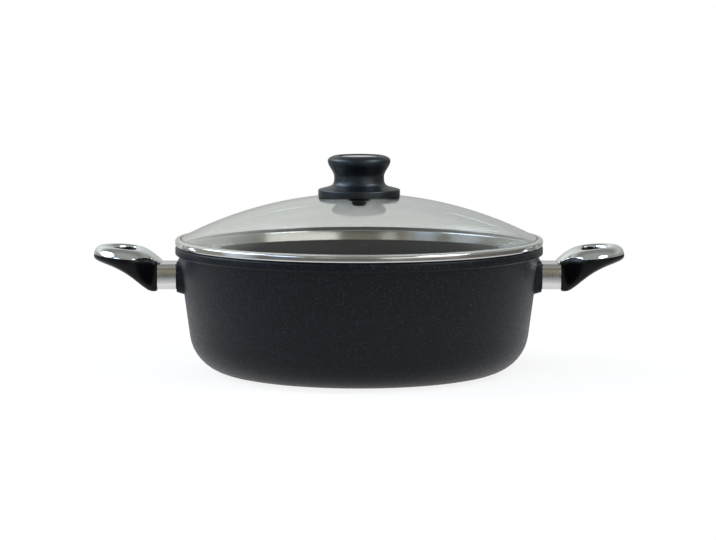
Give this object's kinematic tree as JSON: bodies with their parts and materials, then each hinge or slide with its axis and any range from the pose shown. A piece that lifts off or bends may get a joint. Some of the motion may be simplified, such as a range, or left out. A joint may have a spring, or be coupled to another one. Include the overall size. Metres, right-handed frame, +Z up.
{
  "type": "roasting pot",
  "caption": "Round cast-aluminium roasting pot with a dark coating, domed glass lid in a steel band, waisted lid knob and side handles with bright trim.",
  "frame": {"origin": "middle of the pot's underside, on the surface that it stands on", "axes": "+Z up along the pot's axis, +X through the right handle, +Y away from the viewer of the picture"},
  "size_m": [0.4218, 0.292, 0.1713],
  "materials": {
    "coated_aluminium": "charcoal speckled non-stick coating on cast aluminium",
    "polished_steel": "polished stainless steel",
    "bright_trim": "mirror-bright plating",
    "black_moulding": "satin black heat-resistant moulding",
    "lid_glass": "clear tempered glass with a slight grey-green tint",
    "fastener_steel": "plain steel",
    "black_steel": "blackened steel",
    "seal_rubber": "dark silicone rubber",
    "insert_brass": "turned brass"
  },
  "bodies": {
    "pot": {"pot_body": "coated_aluminium", "right_handle_ferrule": "polished_steel", "right_handle_grip": "black_moulding", "right_handle_trim": "bright_trim", "right_handle_screw": "fastener_steel", "right_handle_washer": "fastener_steel", "left_handle_ferrule": "polished_steel", "left_handle_grip": "black_moulding", "left_handle_trim": "bright_trim", "left_handle_screw": "fastener_steel", "left_handle_washer": "fastener_steel"},
    "lid": {"lid_glass": "lid_glass", "lid_band": "polished_steel", "lid_band_seal": "seal_rubber", "lid_knob": "black_moulding", "knob_disc": "bright_trim", "knob_insert": "insert_brass", "knob_seal_upper": "seal_rubber", "knob_seal_lower": "seal_rubber", "knob_washer": "black_steel", "knob_screw": "black_steel"}
  },
  "joints": [
    {"name": "lid_lift", "type": "slide", "parent": "pot", "child": "lid", "axis": [0, 0, 1], "range_m": [0, 0.15]}
  ]
}
